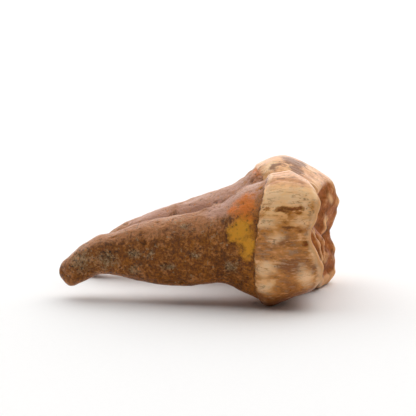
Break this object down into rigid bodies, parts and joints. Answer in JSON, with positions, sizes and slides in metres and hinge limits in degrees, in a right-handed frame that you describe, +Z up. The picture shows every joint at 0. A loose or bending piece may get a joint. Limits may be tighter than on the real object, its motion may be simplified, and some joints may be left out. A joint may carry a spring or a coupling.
{
  "type": "fossil cave bear tooth",
  "caption": "Fossil bear molar lying on its side: a broad, low crown with worn cusps on long tapering roots that part below it.",
  "frame": {"origin": "on the ground under the middle of the tooth's box, as it lies on its side", "axes": "+X along the tooth's length, from the tips of the roots towards the chewing face; +Y across its two lobes; +Z up"},
  "size_m": [0.0419, 0.0292, 0.0206],
  "materials": {
    "fossil": "satin"
  },
  "bodies": {
    "root": {"tooth": "fossil"}
  },
  "joints": []
}
